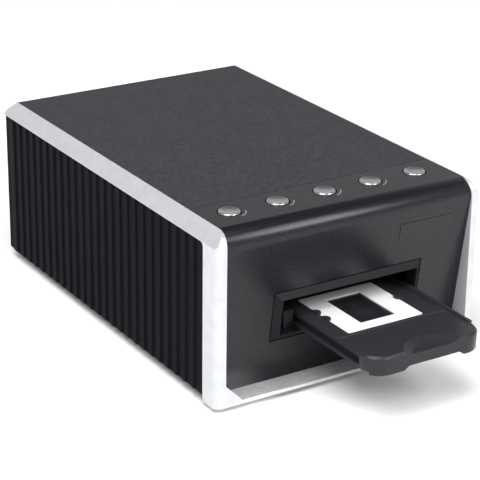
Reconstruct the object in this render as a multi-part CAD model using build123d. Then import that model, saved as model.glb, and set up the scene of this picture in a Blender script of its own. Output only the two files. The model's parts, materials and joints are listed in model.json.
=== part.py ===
from build123d import *
import math
import os

# A desktop film scanner: a flat black case held between two silver side
# frames, with a film holder that a motor draws through a slot in the front.
# X runs across the case, -Y is the front, +Z is up, and all sizes are in mm.
# The case is drawn round its own centre line and is moved along Y as it is
# saved, so that the origin lies under the middle of case and holder together.

# ---- driving dimensions: case ----------------------------------------------
CASE_WIDTH = 175.0
CASE_DEPTH = 259.0
CASE_TOP = 104.0
CASE_BOTTOM = 3.0           # underside of the case, above the feet
WALL = 2.5                  # wall of the moulded covers
SEAM = 0.15                 # gap between two covers that meet
SEAM_LINE = 0.3             # half of the open line between top and button band
SLIP = 0.3                  # gap round a part let into another

TOP_INSET = 7.6             # width of the silver bevel seen from above
BEVEL_DROP = 7.8            # and its height seen from the side
BEVEL_LAND = 0.6            # narrow flat along the bevel's top
BACK_BEVEL = 5.0            # bevel along the back edge of the top
CURVE_DROP = 12.0           # inner edge of the frame curves in from here up
NECK = 1.0                  # and is upright again over this height
PILLAR_FACE = 6.5           # silver pillar seen from the front
PILLAR_DEPTH = 14.0         # and seen from the side
PILLAR_R = 4.0              # rounding of the pillar's outer edge
CORNER_R = 10.0             # front top corner, seen from the side
FRAME_CORNER_R = 2.5        # and the same corner of the side panel within
LEDGE_LIP = 5.0             # top of the silver ledge along the front
LEDGE_BACK_Y = -112.0
GUSSET = 11.0               # diagonal between pillar and ledge

SEAM_Y = -88.0              # line between top panel and button band
PANEL_TOP_Y = -128.7        # sloping front panel, just under the corner
PANEL_FOOT_Y = -115.5       # and where it meets the ledge

SIDE_WALL = 3.7             # side panel from its outermost face to its inside
RIB_PITCH = 9.27
RIB_COUNT = 26
RIB_DEPTH = 0.9
RIB_INSET = 0.6             # crests of the ribs behind the frame's face
RIB_RISE = 0.9              # slope and crest of one rib
RIB_CREST = 2.4
RIB_FOOT = 6.0              # the ribs end above the base pan

FOOT_X, FOOT_Y = 66.0, 104.0
FOOT_R = 8.0

# ---- driving dimensions: front ---------------------------------------------
BUTTON_X = [-62.8 + 30.85 * k for k in range(5)]
BUTTON_Y = -101.5
BUTTON_R = 6.2
BUTTON_RISE = 0.7           # cap above the band
BUTTON_BEVEL = 0.6
BUTTON_TRAVEL = 0.8
BOARD_TOP = 93.5            # circuit board under the buttons
SWITCH_CAP_TOP = 96.2

SLOT_X = (-42.9, 47.0)      # clear opening of the film slot
SLOT_Z = (34.4, 56.5)
SURROUND = 4.0              # sloping surround of the slot
SURROUND_RISE = 3.1         # how far its rim stands out of the panel
COLLAR = 1.5                # wall of the collar that lines the slot
COLLAR_BACK_Y = -116.0

PLATE_SIZE = (35.5, 9.5)    # bare plate, and its middle in (x, z)
PLATE_AT = (50.8, 81.2)

FLAP_PIVOT = (-113.0, 58.2)  # y, z
FLAP_LENGTH = 24.3
FLAP_THICK = 1.4
FLAP_LEAN = 59.3            # degrees back from hanging, lying on the holder
PIN_R = 1.0

# ---- driving dimensions: film holder and drive -----------------------------
HOLDER_X = (-29.0, 46.3)
HOLDER_Y = (-190.0, 60.0)
HOLDER_Z = (34.8, 43.8)
FRAME_PITCH = 54.0          # from one slide to the next
FIRST_SLIDE_Y = -130.5
SLIDE = 50.0                # side of a slide mount
SLIDE_THICK = 1.8
SLIDE_X = 5.0
WINDOW = (23.0, 34.5)       # clear picture of a slide, across and along
GRIP_R = 12.0
GRIP_LIP = 5.5              # front of the grip that reaches lower
GRIP_DROP = 1.8
LUG_R = 3.2
LUG_SIDES = 12
LUG_RISE = 1.1
LUG_OVERLAP = 1.9           # how far a lug reaches over its slide

DECK_X = (-36.0, 52.6)      # track that the holder runs in
DECK_Z = (31.9, 34.3)
DECK_TOP = 50.0
DECK_POST_Y = (-106.0, -56.0, 20.0, 96.0)
POST = 4.0                  # side of the square posts under the track

RACK_X = (37.6, 42.6)
RACK_Y = (-142.0, 60.0)
RACK_DEEP = 4.2
MODULE_RACK = 1.25
PINION_TEETH = 16
MODULE_TRAIN = 0.8
DRIVE_TEETH = 36
IDLER_TEETH = 24
MOTOR_TEETH = 12
BACKLASH = 0.12
PRESSURE_DEG = 20.0
SHAFT_Y = -77.0
SHAFT_R = 2.5
TRAIN_X = (-50.0, -45.0)    # plane of the gear train
MOTOR_SIDE = 35.0
MOTOR_X = (-79.0, -57.0)
MOTOR_SHAFT_R = 1.5
STUD_R = 2.0

# ---- driving dimensions: optics and electronics ----------------------------
SCAN_Y = -88.0              # line across the film that is read
OPTICS_X = 4.3
OPTICS_Z = 66.0
BENCH_Z = (50.0, 52.5)
LENS_Y = (-30.0, -2.0)
LENS_SIDE = 16.0
LENS_BORE = 6.0
SENSOR_Y = 44.0
PCB_THICK = 1.6
PCB_TOP = 13.6              # main circuit board
PCB_X = (-78.0, 6.0)
PCB_Y = (60.0, 122.0)

# ---- driving dimensions: back ----------------------------------------------
USB_X, DC_X, SWITCH_X = -30.0, -4.0, -62.0
USB_SIZE = (12.0, 10.9)
DC_SIDE = 11.0
DC_R = 3.15
SWITCH_Z = 24.0
SWITCH_HOLE = (12.6, 19.0)
SWITCH_TUB = (12.2, 18.6)
SWITCH_WELL = (9.8, 16.2)
SWITCH_FLANGE = (14.6, 21.0, 0.8)    # width, height, thickness
ROCKER_TILT = 8.0
VENT = (3.0, 24.0)
VENT_PITCH = 7.0

# ---- places worked out from them -------------------------------------------
HALF = CASE_WIDTH / 2
FRONT = -CASE_DEPTH / 2
BACK = CASE_DEPTH / 2
TOP_HALF = HALF - TOP_INSET
LOW_HALF = HALF - PILLAR_FACE
INNER_HALF = HALF - SIDE_WALL
PANEL_IN = BACK - WALL
FLOOR_TOP = CASE_BOTTOM + WALL
CASE_SHIFT = (HOLDER_Y[0] + BACK) / -2
SLANT = (PANEL_FOOT_Y - PANEL_TOP_Y) / (CASE_TOP - CORNER_R - LEDGE_LIP)
SLOT_MID = (sum(SLOT_X) / 2, sum(SLOT_Z) / 2)
SLOT_SIZE = (SLOT_X[1] - SLOT_X[0], SLOT_Z[1] - SLOT_Z[0])
SLIDE_SEAT = HOLDER_Z[1] - SLIDE_THICK
SLIDE_AT = [FIRST_SLIDE_Y + k * FRAME_PITCH for k in range(4)]
HOLDER_MID = sum(HOLDER_X) / 2
FILM_Z = (HOLDER_Z[1] - 1.1, HOLDER_Z[1] - 0.8)
PINION_PITCH_R = MODULE_RACK * PINION_TEETH / 2
SHAFT_Z = HOLDER_Z[0] + MODULE_RACK - PINION_PITCH_R
IDLER_Y = SHAFT_Y + MODULE_TRAIN * (DRIVE_TEETH + IDLER_TEETH) / 2
MOTOR_Y = IDLER_Y + MODULE_TRAIN * (IDLER_TEETH + MOTOR_TEETH) / 2
SWITCH_PIVOT = (BACK - 3.6, SWITCH_Z)    # y, z
BEYOND = 5.0                # how far a cut runs past what it cuts


def panel_y(z):
    """Outer face of the sloping front panel at a height."""
    return PANEL_FOOT_Y - SLANT * (z - LEDGE_LIP)


# ---- shared ways of making a solid -----------------------------------------
def along_x(sketch, x0, x1):
    """A sketch drawn in (y, z), run from x0 to x1."""
    return extrude(Plane.YZ.offset(x0) * sketch, amount=x1 - x0)


def along_y(sketch, y0, y1):
    """A sketch drawn in (x, z), run from y0 to y1."""
    return extrude(Plane.XZ.offset(-y0) * sketch, amount=y1 - y0, dir=(0, 1, 0))


def along_z(sketch, z0, z1):
    """A sketch drawn in (x, y), run from z0 to z1."""
    return extrude(Plane.XY.offset(z0) * sketch, amount=z1 - z0)


def outline(*points):
    return make_face(Polyline(*points, close=True))


def block(x, y, z):
    """A block from its low to its high value on each axis."""
    size = (x[1] - x[0], y[1] - y[0], z[1] - z[0])
    middle = ((x[0] + x[1]) / 2, (y[0] + y[1]) / 2, (z[0] + z[1]) / 2)
    return Pos(*middle) * Box(*size)


def rod_x(y, z, radius, x0, x1):
    return along_x(Pos(y, z) * Circle(radius), x0, x1)


def rod_y(x, z, radius, y0, y1):
    return along_y(Pos(x, z) * Circle(radius), y0, y1)


def rod_z(x, y, radius, z0, z1):
    return along_z(Pos(x, y) * Circle(radius), z0, z1)


def edges_near(solid, axis, **where):
    """Straight edges along an axis whose middles lie at the given places."""
    found = solid.edges().filter_by(axis)
    for name, value in where.items():
        found = found.filter_by(
            lambda e, n=name, v=value: abs(getattr(e @ 0.5, n) - v) < 0.05
        )
    return found


def save(name, *solids):
    """Write one node, moved to the frame of the whole object."""
    whole = solids[0] if len(solids) == 1 else Compound(list(solids))
    export_step(Pos(0, CASE_SHIFT, 0) * whole, f"parts/{name}.step")


def mirrored(solid):
    return mirror(solid, about=Plane.YZ)


# ---- the case --------------------------------------------------------------
def inner_line(gap):
    """Front view of a side frame's inner edge, drawn in by a gap: a pillar curved in to the top."""
    side = LOW_HALF - gap
    top = TOP_HALF - gap
    foot = (side, LEDGE_LIP + GUSSET)
    bend = (side, CASE_TOP - CURVE_DROP)
    neck = (top, CASE_TOP - NECK)
    curve = TangentArc(bend, neck, tangent=(0, 1))
    return Line(foot, bend), curve, Line(neck, (top, CASE_TOP))


def frame_front_view():
    """Right frame from the front, from the ledge's end to the bevelled top edge."""
    ledge_end = LOW_HALF - GUSSET
    outer = Polyline(
        (TOP_HALF, CASE_TOP),
        (TOP_HALF + BEVEL_LAND, CASE_TOP),
        (HALF, CASE_TOP - BEVEL_DROP),
        (HALF, CASE_BOTTOM),
        (ledge_end, CASE_BOTTOM),
        (ledge_end, LEDGE_LIP),
        (LOW_HALF, LEDGE_LIP + GUSSET),
    )
    return make_face([*inner_line(0), outer])


def frame_side_view():
    """Frame from the side: a band along the top that turns down the front corner."""
    inner_y = FRONT + PILLAR_DEPTH
    inner_z = CASE_TOP - BEVEL_DROP
    band = outline(
        (BACK, CASE_TOP - BACK_BEVEL),
        (BACK - BACK_BEVEL, CASE_TOP),
        (FRONT, CASE_TOP),
        (FRONT, CASE_BOTTOM),
        (inner_y, CASE_BOTTOM),
        (inner_y, inner_z),
        (BACK, inner_z),
    )
    outer = band.vertices().sort_by(lambda v: v.X - v.Y)[0]
    band = fillet(outer, CORNER_R)
    inner = band.vertices().sort_by(lambda v: abs(v.X - inner_y) + abs(v.Y - inner_z))[0]
    return fillet(inner, FRAME_CORNER_R)


def frame_plan():
    """Frame from above: its outer front corner well rounded."""
    inner = LOW_HALF - GUSSET
    plan = outline((inner, FRONT), (HALF, FRONT), (HALF, BACK), (inner, BACK))
    corner = plan.vertices().sort_by(lambda v: v.X - v.Y)[-1]
    return fillet(corner, PILLAR_R)


def side_frame():
    """Silver frame of the right side, cut to its outline from the front, side and top."""
    from_front = along_y(frame_front_view(), FRONT, BACK)
    from_side = along_x(frame_side_view(), LOW_HALF - GUSSET, HALF)
    return from_front & from_side & along_z(frame_plan(), CASE_BOTTOM, CASE_TOP)


def rib_section():
    """Plan of the right side panel: upright ribs, each stepped like a louvre."""
    start = FRONT + PILLAR_DEPTH + SEAM
    crest = HALF - RIB_INSET
    valley = crest - RIB_DEPTH
    points = [(INNER_HALF, start)]
    for k in range(RIB_COUNT):
        y = start + k * RIB_PITCH
        points += [(valley, y), (crest, y + RIB_RISE), (crest, y + RIB_CREST)]
    points += [(valley, start + RIB_COUNT * RIB_PITCH), (valley, BACK), (INNER_HALF, BACK)]
    return outline(*points)


def ribbed_panel():
    """Black side panel of the right side, its ribs cut to the frame's opening."""
    start = FRONT + PILLAR_DEPTH + SEAM
    top = CASE_TOP - BEVEL_DROP - SEAM
    window = outline((start, top), (BACK, top), (BACK, RIB_FOOT), (start, RIB_FOOT))
    corner = window.vertices().sort_by(lambda v: v.X - v.Y)[0]
    window = fillet(corner, FRAME_CORNER_R)
    return along_z(rib_section(), RIB_FOOT, top) & along_x(window, INNER_HALF, HALF)


def between_frames(gap):
    """Front view of the room between the side frames and their gussets, drawn in by a gap."""
    ledge_end = LOW_HALF - gap - GUSSET
    rest = Polyline(
        (TOP_HALF - gap, CASE_TOP),
        (0, CASE_TOP),
        (0, CASE_BOTTOM),
        (ledge_end, CASE_BOTTOM),
        (ledge_end, LEDGE_LIP),
        (LOW_HALF - gap, LEDGE_LIP + GUSSET),
    )
    half = make_face([*inner_line(gap), rest])
    return half + mirror(half, about=Plane.YZ)


def top_panel():
    """Flat black top, between the frames and behind the button band, bevelled at the back."""
    start, end = SEAM_Y + SEAM_LINE, BACK - BACK_BEVEL
    low = CASE_TOP - WALL
    slab = outline((start, CASE_TOP), (end, CASE_TOP), (end + WALL, low), (start, low))
    return along_x(slab, -HALF, HALF) & along_y(between_frames(SEAM), FRONT, BACK)


def cover_wrap():
    """Button band, round corner and sloping front in one bent sheet."""
    lean = math.sqrt(1 + SLANT**2)
    corner_y = panel_y(CASE_TOP)
    inner_y = panel_y(CASE_TOP - WALL) + WALL * lean
    foot_in = PANEL_FOOT_Y + WALL * lean
    sheet = outline(
        (SEAM_Y - SEAM_LINE, CASE_TOP),
        (corner_y, CASE_TOP),
        (PANEL_FOOT_Y, LEDGE_LIP),
        (foot_in, LEDGE_LIP),
        (inner_y, CASE_TOP - WALL),
        (SEAM_Y - SEAM_LINE, CASE_TOP - WALL),
    )
    nearest = sheet.vertices().sort_by(lambda v: v.X - v.Y)[0]
    sheet = fillet(nearest, CORNER_R)
    nearest = sheet.vertices().sort_by(lambda v: abs(v.X - inner_y) + abs(v.Y - CASE_TOP + WALL))[0]
    sheet = fillet(nearest, CORNER_R - WALL)
    return along_x(sheet, -HALF, HALF) & along_y(between_frames(SEAM), FRONT - 5, BACK)


def panel_plane(x, z):
    """Plane on the sloping panel, its Y up the panel and its Z out of it."""
    return Plane(origin=(x, panel_y(z), z), x_dir=(1, 0, 0), z_dir=(0, -1, -SLANT))


def slot_cut(grow):
    """The film slot run straight back through the front, grown on each side."""
    shape = Rectangle(SLOT_SIZE[0] + 2 * grow, SLOT_SIZE[1] + 2 * grow)
    return along_y(Pos(*SLOT_MID) * shape, FRONT - BEYOND, SEAM_Y)


def surround_outline(grow):
    """Outer edge of the slot's surround on the sloping panel."""
    width, height = (size + 2 * (SURROUND + grow) for size in SLOT_SIZE)
    return panel_plane(*SLOT_MID) * Rectangle(width, height)


def front_cover():
    """The wrap with its slot, five button holes, plate recess and board posts."""
    line_wide, line_deep, plate_deep = 0.6, 0.7, 0.5
    cover = cover_wrap() - slot_cut(COLLAR + SEAM)
    line = extrude(surround_outline(line_wide), amount=-line_deep)
    cover -= line - extrude(surround_outline(0.0), amount=-WALL)
    for x in BUTTON_X:
        cover -= rod_z(x, BUTTON_Y, BUTTON_R + 0.7, CASE_TOP - BEYOND, CASE_TOP + 1)
    plate = panel_plane(*PLATE_AT) * Rectangle(PLATE_SIZE[0] + SLIP, PLATE_SIZE[1] + SLIP)
    cover -= extrude(plate, amount=-plate_deep)
    for x in (BUTTON_X[0] + BUTTON_X[1], BUTTON_X[3] + BUTTON_X[4]):
        cover += block((x / 2 - 2.5, x / 2 + 2.5), (BUTTON_Y - 3, BUTTON_Y + 3), (BOARD_TOP, CASE_TOP - 1))
    return cover


def nameplate():
    """Bare plate, let into the front panel and a little proud of it."""
    face = panel_plane(*PLATE_AT) * Rectangle(*PLATE_SIZE)
    return extrude(face, amount=0.35) + extrude(face, amount=-0.5)


def slot_bezel():
    """Sloping surround whose rim stands out, a collar behind it and two hinge ears."""
    rim_plane = panel_plane(*SLOT_MID).offset(SURROUND_RISE)
    rim = rim_plane * Rectangle(SLOT_SIZE[0] + 0.6, SLOT_SIZE[1] + 0.6)
    slope = loft([surround_outline(0.0), rim], ruled=True)
    collar = Pos(*SLOT_MID) * Rectangle(SLOT_SIZE[0] + 2 * COLLAR, SLOT_SIZE[1] + 2 * COLLAR)
    bezel = slope + along_y(collar, panel_y(SLOT_MID[1]) - 1.0, COLLAR_BACK_Y)
    y, z = FLAP_PIVOT
    for x in (SLOT_X[0] - COLLAR, SLOT_X[1]):
        bezel += block((x, x + COLLAR), (COLLAR_BACK_Y - 1, y + 2.6), (z - 2.6, z + 2.6))
    bezel -= slot_cut(0.0)
    return bezel - rod_x(y, z, PIN_R, SLOT_X[0] - BEYOND, SLOT_X[1] + BEYOND)


def front_ledge():
    """Brushed ledge along the foot of the front, with a rounded front lip."""
    half = LOW_HALF - GUSSET
    ledge = block((-half, half), (FRONT, LEDGE_BACK_Y), (CASE_BOTTOM, LEDGE_LIP))
    lip = edges_near(ledge, Axis.X, Y=FRONT, Z=LEDGE_LIP)
    return fillet(lip, 0.8)


def deck_post_x():
    """Low edges of the posts under the two sides of the track."""
    return DECK_X[0], DECK_X[1] - POST


def base_pan():
    """Floor of the case: upturned sides, vents and the posts under the track."""
    side, rise, gap = 2.0, 10.5, 0.2
    reach = INNER_HALF - gap
    front, back = LEDGE_BACK_Y + gap, PANEL_IN - gap
    pan = block((-reach, reach), (front, back), (CASE_BOTTOM, FLOOR_TOP + rise))
    pan -= block((side - reach, reach - side), (front + side, back + 1), (FLOOR_TOP, FLOOR_TOP + rise + 1))
    for k in range(9):
        for x in (-60, 60):
            vent = Pos(x, VENT_PITCH * k - 24) * Rectangle(VENT[1], VENT[0])
            pan -= along_z(vent, CASE_BOTTOM - 1, FLOOR_TOP + 1)
    for y in DECK_POST_Y:
        for x in deck_post_x():
            pan += block((x, x + POST), (y - POST / 2, y + POST / 2), (CASE_BOTTOM, DECK_Z[0]))
    return pan


def rubber_feet():
    places = [(x, y) for x in (-FOOT_X, FOOT_X) for y in (-FOOT_Y, FOOT_Y)]
    return [rod_z(x, y, FOOT_R, 0.0, CASE_BOTTOM) for x, y in places]


# ---- the back --------------------------------------------------------------
def rear_outline():
    """The back between the side panels, stepped in under the bevels."""
    half = INNER_HALF - 0.2
    top = CASE_TOP - WALL - SEAM
    below_bevel = CASE_TOP - BEVEL_DROP - SEAM
    shoulder, neck = LOW_HALF - SLIP, TOP_HALF - SLIP
    right = [(half, CASE_BOTTOM), (half, below_bevel), (shoulder, below_bevel), (neck, top)]
    left = [(-x, z) for x, z in reversed(right)]
    return outline(*right, *left)


def rear_panel():
    """Back of the case with its two sockets, the power switch and a row of vents."""
    panel = along_y(rear_outline(), PANEL_IN, BACK)
    low, high = CASE_TOP - BACK_BEVEL, CASE_TOP - BACK_BEVEL + WALL
    side = outline((PANEL_IN, CASE_BOTTOM), (BACK, CASE_BOTTOM), (BACK, low), (PANEL_IN, high))
    panel &= along_x(side, -HALF, HALF)
    usb = Pos(USB_X, PCB_TOP + USB_SIZE[1] / 2) * Rectangle(USB_SIZE[0] + 2 * SLIP, USB_SIZE[1] + 2 * SLIP)
    dc = Pos(DC_X, PCB_TOP + DC_SIDE / 2) * Circle(DC_R + 1.5)
    switch = Pos(SWITCH_X, SWITCH_Z) * Rectangle(*SWITCH_HOLE)
    for hole in (usb, dc, switch):
        panel -= along_y(hole, PANEL_IN - 1, BACK + 1)
    width, height, thick = SWITCH_FLANGE
    recess = Pos(SWITCH_X, SWITCH_Z) * Rectangle(width + SLIP, height + SLIP)
    panel -= along_y(recess, BACK - thick, BACK + 1)
    for k in range(12):
        vent = Pos(VENT_PITCH * (k - 5.5), 78) * Rectangle(*VENT)
        panel -= along_y(vent, PANEL_IN - 1, BACK + 1)
    return panel


def usb_socket():
    """Square data socket: steel shell with cut upper corners round a tongue."""
    width, height = USB_SIZE
    z = PCB_TOP + height / 2
    mouth_half, corner = 4.2, 1.6
    floor_y = BACK - 10.5
    across = (USB_X - width / 2, USB_X + width / 2)
    shell = block(across, (floor_y - 3, BACK - SLIP), (PCB_TOP, PCB_TOP + height))
    mouth = outline(
        (-mouth_half, -4.0),
        (mouth_half, -4.0),
        (mouth_half, 4.0 - corner),
        (mouth_half - corner, 4.0),
        (corner - mouth_half, 4.0),
        (-mouth_half, 4.0 - corner),
    )
    shell -= along_y(Pos(USB_X, z) * mouth, floor_y, BACK + 1)
    return shell + along_y(Pos(USB_X, z) * Rectangle(5.6, 3.2), floor_y - 0.1, BACK - 1.8)


def dc_socket():
    """Round power socket with its centre pin, behind a hole in the back."""
    z = PCB_TOP + DC_SIDE / 2
    face = PANEL_IN - 0.2
    half = DC_SIDE / 2 - 1
    body = block((DC_X - half, DC_X + half), (face - 12, face), (PCB_TOP, PCB_TOP + DC_SIDE))
    body -= rod_y(DC_X, z, DC_R, face - 9.5, face + 1)
    return body + rod_y(DC_X, z, 1.0, face - 10, face - 0.5)


def switch_housing():
    """Frame and tub of the power switch, with the pin that the rocker turns on."""
    width, height, thick = SWITCH_FLANGE
    middle = Pos(SWITCH_X, SWITCH_Z)
    housing = along_y(middle * Rectangle(*SWITCH_TUB), BACK - 12, BACK)
    housing += along_y(middle * Rectangle(width, height), BACK - thick, BACK)
    housing -= along_y(middle * Rectangle(*SWITCH_WELL), BACK - 10.5, BACK + 1)
    half = SWITCH_TUB[0] / 2 - 0.5
    return housing + rod_x(*SWITCH_PIVOT, 1.0, SWITCH_X - half, SWITCH_X + half)


def power_rocker():
    """Rocker tilted to its off side; its two faces meet at a shallow hollow."""
    y, z = SWITCH_PIVOT
    shape = outline((-3.0, -5.5), (-3.0, 5.5), (2.4, 7.4), (1.5, 0.0), (2.4, -7.4))
    half = SWITCH_WELL[0] / 2 - SLIP
    rocker = along_x(Pos(y, z) * shape, SWITCH_X - half, SWITCH_X + half)
    rocker -= rod_x(y, z, 1.05, SWITCH_X - BEYOND, SWITCH_X + BEYOND)
    return rocker.rotate(Axis((SWITCH_X, y, z), (1, 0, 0)), -ROCKER_TILT)


# ---- buttons ---------------------------------------------------------------
def scan_button(x):
    """Round silver cap with a bevelled edge, on a square flange and stem."""
    stem_end = SWITCH_CAP_TOP + BUTTON_TRAVEL + 0.1
    flange_top = CASE_TOP - WALL - 0.1
    flange_low = flange_top - 1.2
    flange_half, stem_half = 7.4, 2.0
    cap = rod_z(x, BUTTON_Y, BUTTON_R, flange_low, CASE_TOP + BUTTON_RISE)
    cap = chamfer(cap.edges().sort_by(Axis.Z)[-1], BUTTON_BEVEL)
    across = (x - flange_half, x + flange_half)
    along = (BUTTON_Y - stem_half, BUTTON_Y + stem_half)
    cap += block(across, along, (flange_low, flange_top))
    return cap + block((x - stem_half, x + stem_half), along, (stem_end, flange_low))


def button_board():
    """Circuit board under the button band, one press switch below each button."""
    board = block((-70, 70), (BUTTON_Y - 8, BUTTON_Y + 8), (BOARD_TOP - PCB_THICK, BOARD_TOP))
    switches = []
    for x in BUTTON_X:
        switch = None
        for half, z in ((3.0, (BOARD_TOP, BOARD_TOP + 1.8)), (1.5, (BOARD_TOP + 1.8, SWITCH_CAP_TOP))):
            step = block((x - half, x + half), (BUTTON_Y - half, BUTTON_Y + half), z)
            switch = switch + step if switch else step
        switches.append(switch)
    return board, switches


# ---- dust flap -------------------------------------------------------------
def flap_pin():
    return rod_x(*FLAP_PIVOT, PIN_R, SLOT_X[0] - COLLAR, SLOT_X[1] + COLLAR)


def dust_flap():
    """Flap behind the slot, lying back on the film holder that passes under it."""
    y, z = FLAP_PIVOT
    span = (SLOT_X[0] + 0.5, SLOT_X[1] - 0.5)
    leaf = Pos(y, z - FLAP_LENGTH / 2) * Rectangle(FLAP_THICK, FLAP_LENGTH)
    leaf += Pos(y, z) * Circle(2 * PIN_R)
    flap = along_x(leaf, *span) - rod_x(y, z, PIN_R + 0.05, span[0] - 1, span[1] + 1)
    return flap.rotate(Axis((0, y, z), (1, 0, 0)), FLAP_LEAN)


# ---- film holder -----------------------------------------------------------
def holder_plan():
    """Holder from above: round corners at the grip, small bevels at the far end."""
    x0, x1 = HOLDER_X
    y0, y1 = HOLDER_Y
    bevel = 4.0
    far = [(x1, y1 - bevel), (x1 - bevel, y1), (x0 + bevel, y1), (x0, y1 - bevel)]
    plan = outline((x0, y0), (x1, y0), *far)
    return fillet(plan.vertices().filter_by(lambda v: v.Y < y0 + 1), GRIP_R)


def holder_body():
    """Solid of the holder with its bevelled grip, whose front lip reaches lower at both sides."""
    y0 = HOLDER_Y[0]
    z0, z1 = HOLDER_Z
    body = along_z(holder_plan(), z0, z1)
    grip_edge = body.edges().group_by(Axis.Z)[-1].filter_by(lambda e: (e @ 0.5).Y < y0 + GRIP_R - 1)
    body = chamfer(grip_edge, 1.3)
    reach = block(HOLDER_X, (y0, y0 + GRIP_LIP), (z0 - GRIP_DROP, z0))
    body += along_z(holder_plan(), z0 - GRIP_DROP, z0) & reach
    foot, rise = 3.5, 0.4
    arch = outline(
        (-8.0, z0 - GRIP_DROP - 1),
        (-8.0, z0 - GRIP_DROP),
        (foot - 8.0, z0 + rise),
        (32.0 - foot, z0 + rise),
        (32.0, z0 - GRIP_DROP),
        (32.0, z0 - GRIP_DROP - 1),
    )
    return body - along_y(arch, y0 - 1, y0 + GRIP_LIP)


def thumb_dish():
    """Round hollow that runs out through the front edge of the grip."""
    rim_r, depth, wall = 21.0, 2.2, 5.0
    place = Pos(HOLDER_MID + 2.1, HOLDER_Y[0] - 8.0, HOLDER_Z[1] - depth / 2 + 0.01)
    return place * Cone(bottom_radius=rim_r - wall, top_radius=rim_r, height=depth)


def slide_seat(y):
    """Everything cut for one slide: its seat, the lit window and the step under it."""
    z0, z1 = HOLDER_Z
    half = SLIDE / 2 + 0.2
    seat = block((SLIDE_X - half, SLIDE_X + half), (y - half, y + half), (SLIDE_SEAT, z1 + 1))
    window = block((SLIDE_X - 14, SLIDE_X + 14), (y - 19.5, y + 19.5), (z0 - 1, z1))
    step = block((SLIDE_X - 20, SLIDE_X + 20), (y - 23, y + 23), (z0 - 1, z0 + 3.4))
    return seat + window + step


def slide_lugs(y):
    """Half-round lugs over the side edges of one slide: two on the left, one on the right."""
    lugs = []
    for side, offset in ((-1, -4.3), (-1, 5.1), (1, -0.4)):
        middle = SLIDE_X + side * (SLIDE / 2 + LUG_R - LUG_OVERLAP)
        disc = Pos(middle, y + offset) * RegularPolygon(LUG_R, LUG_SIDES)
        half = disc & Pos(middle - side * LUG_R, y) * Rectangle(2 * LUG_R, SLIDE)
        lugs.append(along_z(half, HOLDER_Z[1], HOLDER_Z[1] + LUG_RISE))
    return lugs


def holder_frame():
    """Body of the film holder: four seats with their windows and lugs, grip, rim and channels."""
    x0, x1 = HOLDER_X
    y0, y1 = HOLDER_Y
    z0, z1 = HOLDER_Z
    body = holder_body() - thumb_dish()
    for y in SLIDE_AT:
        body -= slide_seat(y)
    side_channel = block((x0 - 1, x0 + 3.0), (y0 + GRIP_R, y1 + 1), (z0 + 1.8, z1 - 2.5))
    rack_channel = block(RACK_X, (RACK_Y[0] - 4, y1 + 1), (z0 - 1, z0 + RACK_DEEP))
    top_channel = block((33.6, 43.2), (-150.0, y1 + 1), (z1 - 1.0, z1 + 1))
    crease = block((x0 - 1, x1 + 1), (-158.2, -157.6), (z1 - 0.25, z1 + 1))
    for cut in (side_channel, rack_channel, top_channel, crease):
        body -= cut
    body += block((x1 - 2.2, x1), (y0 + GRIP_R + 0.5, y1 - 6), (z1 - 0.5, z1 + 0.9))
    for y in SLIDE_AT:
        for lug in slide_lugs(y):
            body += lug
    return body


def holder_rack():
    """Toothed strip let into the underside of the holder."""
    pitch = math.pi * MODULE_RACK
    tip = HOLDER_Z[0]
    root = tip + 2.25 * MODULE_RACK
    top = tip + RACK_DEEP
    flank = math.tan(math.radians(PRESSURE_DEG))
    half_pitch_line = pitch / 4 - BACKLASH / 4
    half_tip = half_pitch_line - MODULE_RACK * flank
    half_root = half_pitch_line + 1.25 * MODULE_RACK * flank
    low = math.ceil((RACK_Y[0] + half_root - SHAFT_Y) / pitch)
    high = math.floor((RACK_Y[1] - half_root - SHAFT_Y) / pitch)
    points = [(RACK_Y[1], top), (RACK_Y[0], top), (RACK_Y[0], root)]
    for k in range(low, high + 1):
        y = SHAFT_Y + k * pitch
        points += [(y - half_root, root), (y - half_tip, tip), (y + half_tip, tip), (y + half_root, root)]
    points.append((RACK_Y[1], root))
    return along_x(outline(*points), *RACK_X)


def slide_mount():
    """White frame of one slide, open at its picture, with a slit for the film inside."""
    half = SLIDE / 2
    y = SLIDE_AT[0]
    frame = block((SLIDE_X - half, SLIDE_X + half), (y - half, y + half), (SLIDE_SEAT, HOLDER_Z[1]))
    frame = chamfer(frame.edges().filter_by(Axis.Z), 1.0)
    w, h = WINDOW
    through = (SLIDE_SEAT - 1, HOLDER_Z[1] + 1)
    frame -= block((SLIDE_X - w / 2, SLIDE_X + w / 2), (y - h / 2, y + h / 2), through)
    return frame - film_chip()


def film_chip():
    """Piece of film in the mount, a little larger than the picture it shows."""
    w, h = WINDOW
    y = SLIDE_AT[0]
    return block((SLIDE_X - w / 2 - 3, SLIDE_X + w / 2 + 3), (y - h / 2 - 2, y + h / 2 + 2), FILM_Z)


# ---- holder track ----------------------------------------------------------
def holder_deck():
    """Track that the holder runs on: floor, side walls and the openings in the floor."""
    span = (COLLAR_BACK_Y + 0.2, 124.0)
    low_until = -86.0
    through = (DECK_Z[0] - 1, DECK_Z[1] + 1)
    deck = block(DECK_X, span, (DECK_Z[0], DECK_TOP))
    between = (HOLDER_X[0] - 0.4, HOLDER_X[1] + 0.4)
    deck -= block(between, (span[0] - 1, span[1] + 1), (DECK_Z[1], DECK_TOP + 1))
    deck -= block((DECK_X[0] - 1, DECK_X[1] + 1), (span[0] - 1, low_until), (44.5, DECK_TOP + 1))
    deck -= block((OPTICS_X - 20, OPTICS_X + 20), (SCAN_Y - 5, SCAN_Y + 5), through)
    deck -= block((RACK_X[0] - 0.6, RACK_X[1] + 0.6), (SHAFT_Y - 12.5, SHAFT_Y + 12.5), through)
    for y in (-36.0, 0.0, 36.0, 72.0, 108.0):
        for x in (-9.0, 21.0):
            deck -= block((x - 12, x + 12), (y - 13, y + 13), through)
    return deck


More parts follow.
